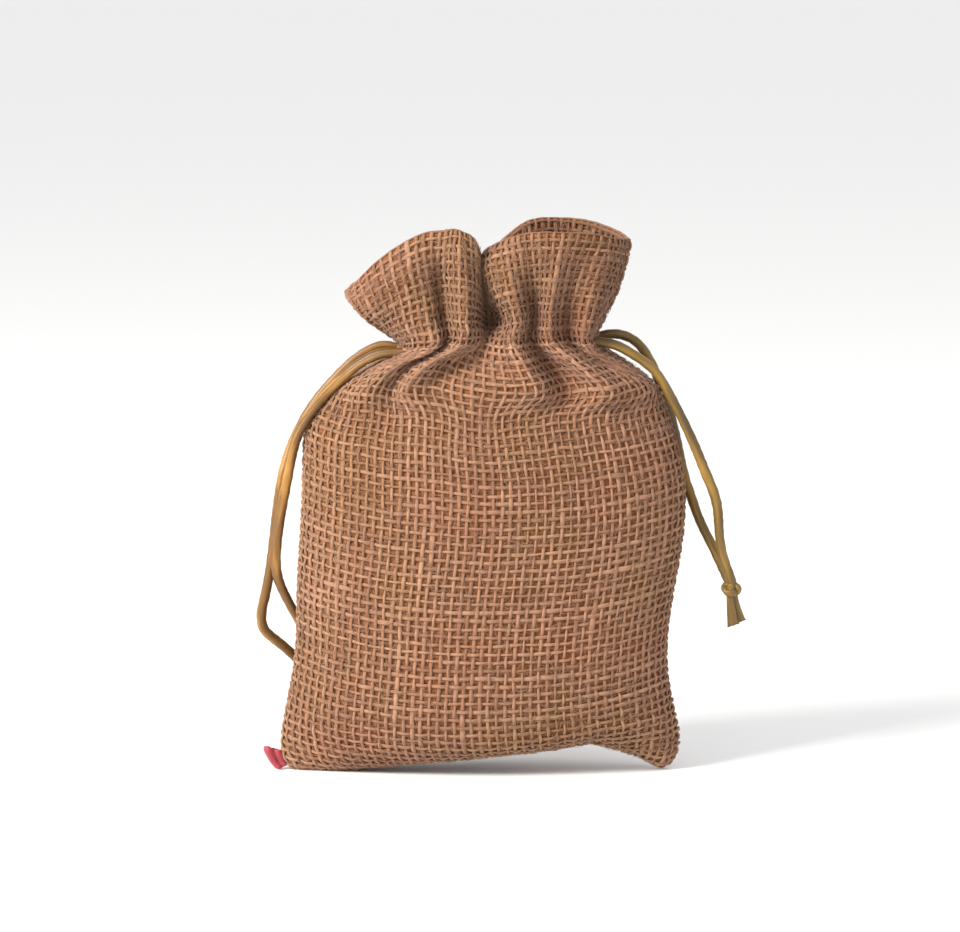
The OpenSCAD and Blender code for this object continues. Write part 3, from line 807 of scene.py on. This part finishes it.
def keep_sewn(cloth):
    """The bag stays off the floor, closed at bottom and seams, with its front before its back."""
    half = COLS
    below = slice(1, NECK_ROW)
    cloth[..., 2] = np.maximum(cloth[..., 2], LOWEST)
    middle = 0.5 * (cloth[0, 1:half] + cloth[0, :half:-1])
    middle[:, 1] = 0
    cloth[0, 1:half] = middle
    cloth[0, :half:-1] = middle
    cloth[below, 1:half, 1] = np.minimum(cloth[below, 1:half, 1], -HALF_GAP)
    cloth[below, half + 1:, 1] = np.maximum(cloth[below, half + 1:, 1], HALF_GAP)
    cloth[:NECK_ROW, 0, 1] = 0
    cloth[:NECK_ROW, half, 1] = 0


def smooth_lips(cloth, rows):
    """The lips without the zigzag from column to column that is left along their rim."""
    even = 0.5 * cloth + 0.25 * (np.roll(cloth, 1, 1) + np.roll(cloth, -1, 1))
    return cloth + np.clip((rows - NECK_ROW) / SMOOTH_ROWS, 0, 1) * (even - cloth)


def relaxed_cloth():
    """The whole cloth as one ring of columns: front left to right, then back right to left."""
    front, back = start_side(-1), start_side(1)
    cloth = np.concatenate([front, back[:, -2:0:-1]], axis=1)
    aim_at = cloth.copy()
    rows = np.arange(ROWS + 1)[:, None, None]
    body = 1 / (1 + np.exp((rows - SHAPED_FROM) / 3.0))
    shaped = np.clip((rows - SHAPED_FROM) / SHAPED_FULLY, 0, 1)
    bottom = np.clip(1 - rows / BOTTOM_ROWS, 0, 1)
    pull = BODY_PULL * body + SHAPED_PULL * shaped + BOTTOM_PULL * bottom
    bend = BENDING * (1 - 0.75 * shaped)
    lines = cord_lines()
    steps = RELAX_STEPS
    for step in range(steps):
        cloth += PRESSURE * body * cloth_normals(cloth)
        cloth += pull * (aim_at - cloth)
        for _ in range(PULL_ROUNDS):
            pull_together(cloth, 1, *ACROSS_PULL)
            pull_together(cloth, 0, *UP_PULL)
        cloth += bend * (0.5 * (np.roll(cloth, 1, 1) + np.roll(cloth, -1, 1)) - cloth)
        cloth[1:-1] += bend[1:-1] * (0.5 * (cloth[2:] + cloth[:-2]) - cloth[1:-1])
        if step >= steps - CORD_STEPS:
            clear_of_cords(cloth, lines)
        keep_sewn(cloth)
    return smooth_lips(cloth, rows)


CLOTH = relaxed_cloth()
NORMAL = cloth_normals(CLOTH)


def side_of(grid, front):
    """The front or the back half of the ring, both from the left seam to the right seam."""
    if front:
        return grid[:, :COLS + 1]
    return np.concatenate([grid[:, :1], grid[:, :COLS - 1:-1]], axis=1)


def at(grid, row, col):
    """A grid's value between its points, by rows and columns that may be fractions."""
    r = np.clip(row, 0, grid.shape[0] - 1.0001)
    c = np.clip(col, 0, grid.shape[1] - 1.0001)
    r0, c0 = r.astype(int), c.astype(int)
    fr, fc = (r - r0)[..., None], (c - c0)[..., None]
    return ((grid[r0, c0] * (1 - fc) + grid[r0, c0 + 1] * fc) * (1 - fr)
            + (grid[r0 + 1, c0] * (1 - fc) + grid[r0 + 1, c0 + 1] * fc) * fr)


def sheet_mesh(name, places, outward, lift_off, thick, material):
    """A thin closed sheet that lies lift_off out from a grid of places."""
    rows, cols = places.shape[:2]
    outer = places + outward * lift_off
    inner = places + outward * (lift_off - thick)
    verts = np.concatenate([outer.reshape(-1, 3), inner.reshape(-1, 3)]) * MM
    i = np.arange(rows * cols).reshape(rows, cols)
    n = rows * cols
    quads = np.stack([i[:-1, :-1], i[:-1, 1:], i[1:, 1:], i[1:, :-1]], -1).reshape(-1, 4)
    rim = np.concatenate([i[0, :], i[1:, -1], i[-1, -2::-1], i[-2:0:-1, 0]])
    after = np.roll(rim, -1)
    edge = np.stack([rim, rim + n, after + n, after], -1)
    faces = np.concatenate([quads, quads[:, ::-1] + n, edge])
    return new_mesh(name, verts, faces, material)


# -------- threads woven over the cloth

# A thread's half width and half height, and how far it goes over and under
YARN_W = 0.415
YARN_H = 0.26
CRIMP = 0.22
YARN_SIDES = 8
RINGS_PER_PITCH = 3
YARN_TWIST = 0.35
# What makes threads uneven: the size of each change, and in how many millimetres it comes
SWAYS = ((0.16, 9.0), (0.09, 3.0))
WIDTH_CHANGE = (0.22, 5.0)
HEIGHT_CHANGE = (0.12, 4.0)
TONE_CHANGE = (0.2, 12.0)
WIDTH_BY_THREAD = 0.13
WIDTH_ROUGH = 0.07
WIDTH_RANGE = (0.55, 1.75)
HEIGHT_RANGE = (0.75, 1.5)
TONE_BY_THREAD = 0.12
SLUBS_PER_THREAD = 0.5
SLUB_LONG = (2.0, 7.0)
SLUB_THICK = (0.25, 0.6)
# At a rim's fold the threads go over and under less; lips are darkened with painted shade, most at the right
FOLD_FLATTENS = 0.85
FOLD_REACH = 1.3
LIP_PAINTED_SHADE = 0.15
LIP_PAINTED_SHADE_RIGHT = 0.22


def wander(rng, count, at_mm, size, knot):
    """Smooth random values along each of count threads, about -size to size, in knot mm."""
    knots = int(at_mm[-1] / knot) + 3
    value = rng.normal(0, 0.6, (count, knots))
    place = at_mm / knot
    k = place.astype(int)
    t = place - k
    t = t * t * (3 - 2 * t)
    return size * (value[:, k] * (1 - t) + value[:, k + 1] * t)


def slubs(rng, count, at_mm):
    """A few places where a thread is thicker for a few millimetres."""
    out = np.zeros((count, len(at_mm)))
    for n in range(count):
        for _ in range(rng.poisson(SLUBS_PER_THREAD)):
            middle = rng.uniform(0, at_mm[-1])
            long = rng.uniform(*SLUB_LONG)
            out[n] += rng.uniform(*SLUB_THICK) * np.exp(-((at_mm - middle) / long) ** 2)
    return out


def thread_lanes(rows, upright, row0, apex):
    """The warps' columns, or the wefts' rows, with one more weft along a frill's top."""
    if upright:
        return (np.arange(WARPS) + 0.5) * SUB
    low = math.ceil(row0 / SUB - 0.5 + 1e-6)
    high = math.floor((row0 + rows - 1) / SUB - 0.5 - 1e-6)
    lanes = (np.arange(low, high + 1) + 0.5) * SUB - row0
    return np.r_[lanes, apex - 0.02] if apex else lanes


def over_and_under(row, col, lanes, upright, row0, apex):
    """1 where a thread lies over the one it crosses and -1 where it lies under it."""
    if upright:
        number = np.arange(len(lanes))[:, None]
        phase = np.cos(np.pi * ((row + row0) / SUB - 0.5)) * (-1.0) ** number
    else:
        number = np.round((lanes + row0) / SUB - 0.5)[:, None]
        phase = -np.cos(np.pi * (col / SUB - 0.5)) * (-1.0) ** number
    if apex is not None:
        phase = phase * (1 - FOLD_FLATTENS * np.exp(-(((row - apex) / FOLD_REACH) ** 2)))
    return phase


def thicknesses(rng, count, at_mm):
    """Half width, half height and lumps all along each thread."""
    fat = (1 + wander(rng, count, at_mm, *WIDTH_CHANGE)
           + WIDTH_BY_THREAD * rng.normal(0, 1, (count, 1)))
    fat = fat + rng.normal(0, WIDTH_ROUGH, (count, len(at_mm)))
    lump = slubs(rng, count, at_mm)
    tall = 1 + wander(rng, count, at_mm, *HEIGHT_CHANGE) + 0.7 * lump
    return YARN_W * np.clip(fat + lump, *WIDTH_RANGE), YARN_H * np.clip(tall, *HEIGHT_RANGE), lump


def across_strands(where, normal):
    """Two directions across each strand: along the cloth and out of it."""
    forward = unit(np.gradient(where, axis=1))
    side = unit(np.cross(forward, normal))
    return side, np.cross(side, forward)


def weave(name, places, normals, upright, seed, row0, flip, apex):
    """All the warps (upright) or wefts over a grid whose first row is the cloth's row0.

    flip is -1 for a grid that shows the cloth's inside, and apex is the row of the rim's fold.
    """
    rng = np.random.default_rng(seed)
    rows, cols = places.shape[:2]
    span = (rows if upright else cols) - 1
    lanes = thread_lanes(rows, upright, row0, apex)
    count = len(lanes)
    rings = int(span / SUB * RINGS_PER_PITCH) + 1
    go = np.linspace(0, span, rings)
    at_mm = go * STEP
    lane = lanes[:, None] + sum(wander(rng, count, at_mm, *sway) for sway in SWAYS) / STEP
    go = go[None] + 0 * lane
    row, col = (go, lane) if upright else (lane, go)
    normal = unit(at(normals, row, col))
    phase = over_and_under(row, col, lanes, upright, row0, apex)
    where = at(places, row, col) + normal * (CRIMP * flip * phase)[..., None]
    side, up = across_strands(where, normal)
    wide, high, lump = thicknesses(rng, count, at_mm)
    a = 2 * np.pi * (np.arange(YARN_SIDES) + 0.5) / YARN_SIDES
    ring = (side[:, :, None] * (wide[..., None] * np.cos(a))[..., None]
            + up[:, :, None] * (high[..., None] * np.sin(a))[..., None])
    verts = (where[:, :, None] + ring).reshape(-1, 3) * MM
    caps = end_caps(rings, YARN_SIDES, count)
    faces = np.concatenate([tube_faces(rings, YARN_SIDES, count), caps])
    ob = new_mesh(name, verts, faces, YARN)
    start = rng.uniform(0, 400, (count, 1, 1))
    u = np.broadcast_to(start + at_mm[None, :, None], (count, rings, YARN_SIDES))
    twist = YARN_TWIST * at_mm[None, :, None]
    v = np.broadcast_to(a * YARN_W + twist + start * 7.0, (count, rings, YARN_SIDES))
    add_thread_map(ob, u.reshape(-1), v.reshape(-1))
    tone = (0.5 + TONE_BY_THREAD * rng.normal(0, 1, (count, 1))
            + wander(rng, count, at_mm, *TONE_CHANGE))
    # Painted shade: the lips' threads are darker, most towards the right
    if apex is not None:
        tone = tone - LIP_PAINTED_SHADE - LIP_PAINTED_SHADE_RIGHT * np.clip(where[..., 0] / 20, 0, 1)
    add_tone(ob, np.repeat(tone + 0.3 * lump, YARN_SIDES))
    return ob


def add_tone(ob, tone):
    """How light each point of a thread is, from 0 to 1."""
    layer = ob.data.attributes.new("tone", "FLOAT", "POINT")
    layer.data.foreach_set("value", np.clip(tone, 0, 1).astype(np.float32))


def strands(name, places, normals, row, col, high, radius, sides, tone):
    """Short round strands that follow the cloth, from rows, columns and heights along each."""
    count, rings = row.shape
    normal = unit(at(normals, row, col))
    where = at(places, row, col) + normal * high[..., None]
    side, up = across_strands(where, normal)
    taper = np.clip(1.15 - np.abs(np.linspace(-1, 1, rings)) ** 4, 0.3, 1)
    a = 2 * np.pi * np.arange(sides) / sides
    ring = side[:, :, None] * np.cos(a)[:, None] + up[:, :, None] * np.sin(a)[:, None]
    verts = where[:, :, None] + ring * (radius * taper)[:, None, None]
    faces = tube_faces(rings, sides, count)
    if sides > 3:
        faces = np.concatenate([faces, end_caps(rings, sides, count)])
    ob = new_mesh(name, verts.reshape(-1, 3) * MM, faces, YARN)
    length = np.broadcast_to(np.arange(rings)[None, :, None] * 0.4, (count, rings, sides))
    start = np.arange(count)[:, None, None] * 3.7
    around = np.broadcast_to(a * radius + start, (count, rings, sides))
    add_thread_map(ob, (length + start).reshape(-1), around.reshape(-1))
    add_tone(ob, np.full(count * rings * sides, tone))
    return ob


# Loose fibres: half thickness, length, height, and how much they turn, bow and tilt
FIBRE_R = 0.05
FIBRE_SIDES = 3
FIBRE_LONG = (1.2, 4.5)
FIBRE_HIGH = (0.1, 0.6)
FIBRE_TURN = 0.4
FIBRE_BOW = 0.35
FIBRE_TILT = 0.35
FIBRE_TONE = 0.85
FIBRE_EDGE = 1.5


def fuzz(name, places, normals, seed, count):
    """Loose jute fibres that lie over the threads and cross the gaps."""
    rng = np.random.default_rng(seed)
    last_row, last_col = (n - 1 - FIBRE_EDGE for n in places.shape[:2])
    t = np.linspace(-0.5, 0.5, 5)
    angle = rng.normal(0, FIBRE_TURN, count) + np.where(rng.random(count) < 0.5, 0, np.pi / 2)
    long = rng.uniform(*FIBRE_LONG, (count, 1)) / STEP
    bow = rng.normal(0, FIBRE_BOW, (2, count, 1)) * (1 - 4 * t**2)
    row = rng.uniform(FIBRE_EDGE, last_row, (count, 1)) + np.sin(angle)[:, None] * long * t + bow[0]
    col = rng.uniform(FIBRE_EDGE, last_col, (count, 1)) + np.cos(angle)[:, None] * long * t + bow[1]
    high = rng.uniform(*FIBRE_HIGH, (count, 1)) + rng.normal(0, FIBRE_TILT, (count, 1)) * t
    return strands(name, places, normals, row, col, high, FIBRE_R, FIBRE_SIDES, FIBRE_TONE)


# -------- the pouch, piece by piece

# The rim's fold, and the ground sheet's depth under the threads, less deep at the fold
FOLD = 1.4
SHEET_IN = -0.42
SHEET_IN_RIM = -0.1
SHEET_THICK = 0.25
FIBRES = {"panel": 8000, "frill": 2100, "facing": 1500}
# Where the back lip still stays with the pouch, and where it turns fully, in metres
LIP_STILL = (0.0066, 0.011, 0.107)
LIP_TURNS = (0.0066, 0.0236, 0.112)


def folded_rim(places, normals):
    """The lip with its folded rim: the outer layer to the fold's top, and the facing from there."""
    up = unit(places[-1] - places[-2])
    centre = places[-1] - normals[-1] * FOLD / 2
    top = centre + up * FOLD / 2
    outer = np.concatenate([places, top[None]])
    outer_n = np.concatenate([normals, up[None]])
    inner = (places - normals * FOLD)[:1:-1]
    facing = np.concatenate([top[None], inner])
    facing_n = np.concatenate([up[None], -normals[:1:-1]])
    return outer, outer_n, facing, facing_n


def bend_with(ob, lip):
    """A lip bends out of the neck like cloth: its sides stay on the pouch and its rim turns."""
    out = -1 if lip == "front_lip" else 1
    start, end = ((x, out * y, z) for x, y, z in (LIP_STILL, LIP_TURNS))
    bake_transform(ob, "pouch", lip, start=start, end=end)


def make_side(name, is_front, seed):
    """The front or the back: its panel, frill and facing, each of a sheet, threads and fibres."""
    grid, out = side_of(CLOTH, is_front), side_of(NORMAL, is_front)
    body, body_n = grid[:NECK_ROW + 1], out[:NECK_ROW + 1]
    lip, lip_n, facing, facing_n = folded_rim(grid[NECK_ROW:], out[NECK_ROW:])
    for part, places, normals, row0, flip, slot, ends, apex in (
            ("panel", body, body_n, 0, 1, "jute", ("_panel", "_casing"), None),
            ("frill", lip, lip_n, NECK_ROW, 1, "jute", ("_frill",), len(lip) - 1),
            ("facing", facing, facing_n, NECK_ROW, -1, "jute_inside", ("_facing",), 0)):
        depth = np.full((len(places), 1, 1), SHEET_IN)
        if apex is not None:
            depth[apex] = SHEET_IN_RIM
        stem = name + "_" + part
        # The ground sheet is darker than the yarn: fibre fill, with painted shade in the gaps
        cloth = sheet_mesh(stem + "_fill_painted_shade", places, normals, depth, SHEET_THICK, FILL_AND_SHADE)
        warp = weave(stem + "_warp", places, normals, True, seed, row0, flip, apex)
        weft = weave(stem + "_weft", places, normals, False, seed + 1, row0, flip, apex)
        loose = fuzz(stem + "_fuzz", places, normals, seed + 100, FIBRES[part])
        seed += 2
        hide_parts(*[name + end for end in ends])
        for piece in (cloth, warp, weft, loose):
            if part == "panel":
                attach(piece, "pouch")
            else:
                bend_with(piece, name + "_lip")


# The turned seams: columns beside a side seam, rows left free at its ends, depth and thickness
SEAM_COLS = 3
SEAM_ENDS = 6
SEAM_IN = -1.0
SEAM_THICK = 0.6
BOTTOM_HEIGHTS = (0.8, 2.2, 3.6, 5.0)
BOTTOM_THICK = 1.0


def make_side_seam(name, column, node):
    """The turned edges of the cloth along a side, inside the bag."""
    near = np.arange(column - SEAM_COLS, column + SEAM_COLS + 1)
    part = slice(SEAM_ENDS, NECK_ROW - SEAM_ENDS)
    ob = sheet_mesh(name, CLOTH[part, near], NORMAL[part, near], SEAM_IN, SEAM_THICK, FILL_AND_SHADE)
    put(ob, node, "pouch")


def make_bottom_seam():
    """The turned edges of the cloth along the bottom, inside the bag."""
    line = CLOTH[0, SEAM_COLS:COLS + 1 - SEAM_COLS]
    places = np.array([line + np.array([0, 0, h]) for h in BOTTOM_HEIGHTS])
    outward = np.broadcast_to([0.0, -1.0, 0.0], places.shape)
    ob = sheet_mesh("bottom_seam_edge", places, outward, BOTTOM_THICK / 2, BOTTOM_THICK, FILL_AND_SHADE)
    put(ob, "bottom_seam", "pouch")


STITCH_L = 1.7
STITCH_PITCH = 3.0
STITCH_COLS = (4, COLS - 6)
STITCH_ROWS = (NECK_ROW - 5.0, NECK_ROW - 0.6)
STITCH_R = 0.17
STITCH_SIDES = 6
STITCH_TONE = 0.35


def make_stitches(name, is_front):
    """Two rows of running stitches that close the casing below and above the cords."""
    places, normals = side_of(CLOTH, is_front), side_of(NORMAL, is_front)
    first, last = STITCH_COLS
    starts = np.arange(first * STEP, last * STEP, STITCH_PITCH) / STEP
    t = np.linspace(0, STITCH_L / STEP, 5)
    row = np.concatenate([np.full((len(starts), len(t)), r) for r in STITCH_ROWS])
    col = np.concatenate([starts[:, None] + t] * len(STITCH_ROWS))
    high = np.broadcast_to(0.62 + 0.12 * np.sin(np.pi * t / t[-1]), row.shape)
    ob = strands(name + "_stitching", places, normals, row, col, high, STITCH_R, STITCH_SIDES,
                 STITCH_TONE)
    put(ob, name + "_casing_stitches", "pouch")


# The red tag: its outer edge and the edge sewn into the seam, as X and Z from the bottom up
TAG_OUTER = np.array([[-48.7, 0.2], [-49.8, 0.6], [-51, 2], [-52, 4], [-52.7, 5.8], [-51.4, 5.9]])
TAG_SEWN = np.array([[-46.6, 1.2], [-47, 2.4], [-47.4, 3.6], [-47.8, 4.9]])
TAG_ROWS = 9
TAG_COLS = 11
TAG_THICK = 0.5


def make_tag():
    """A folded end of red ribbon, curled a little to the front."""
    outer, sewn = evenly(TAG_OUTER, TAG_ROWS), evenly(TAG_SEWN, TAG_ROWS)
    u = np.linspace(0, 1, TAG_COLS)[None, :, None]
    flat = outer[:, None] * (1 - u) + sewn[:, None] * u
    lobes = -0.9 * np.abs(np.sin(2 * np.pi * u[..., 0]))
    wave = 0.3 * np.sin(np.linspace(0, 2 * np.pi, TAG_ROWS))[:, None]
    curl = lobes - 0.8 * (1 - u[..., 0]) + wave
    places = np.stack([flat[..., 0], curl, flat[..., 1]], 2)
    outward = unit(np.cross(np.gradient(places, axis=0), np.gradient(places, axis=1)))
    ob = sheet_mesh("seam_tag_ribbon", places, outward, TAG_THICK / 2, TAG_THICK, TAG)
    put(ob, "seam_tag", "pouch")


def make_cord(which, side, z, knot_at, tails_at, down, across, legs):
    """A cord: its knot and tails, its run in the casing and its two free legs."""
    knot = make_knot(which, knot_at, down, across, 5)
    tails = make_tails(which, tails_at, down, across, 8)
    make_run(which, side, z, 3)
    for seed, (leg, y, route) in enumerate(legs):
        node = which + "_cord_" + leg
        ob, path, exit_at, length = free_leg(node + "_satin", side, y, z, route, node, seed)
        if seed == 0:
            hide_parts(which + "_cord_ends")
        declare_leg(ob, exit_at, which)


make_side("front", True, 11)
make_side("back", False, 31)
make_side_seam("left_seam_edges", 0, "left_side_seam")
make_side_seam("right_seam_edges", COLS, "right_side_seam")
make_bottom_seam()
make_stitches("front", True)
make_stitches("back", False)
make_tag()

RIGHT_LEGS = (("front_leg", -EXIT_Y, RIGHT_FRONT), ("back_leg", EXIT_Y, RIGHT_BACK))
LEFT_LEGS = (("outer_leg", EXIT_Y, LEFT_OUTER), ("inner_leg", -EXIT_Y, LEFT_INNER))
# The right cord's tails hang down; the left cord's lie on the floor behind the bag
make_cord("right", 1, RIGHT_Z, RIGHT_KNOT, RIGHT_KNOT, (0, 0, -1), (1, 0, 0), RIGHT_LEGS)
make_cord("left", -1, LEFT_Z, LEFT_KNOT, LEFT_TAILS, (-0.866, 0.5, 0), (0.5, 0.866, 0), LEFT_LEGS)

bpy.context.scene.view_settings.view_transform = "Standard"
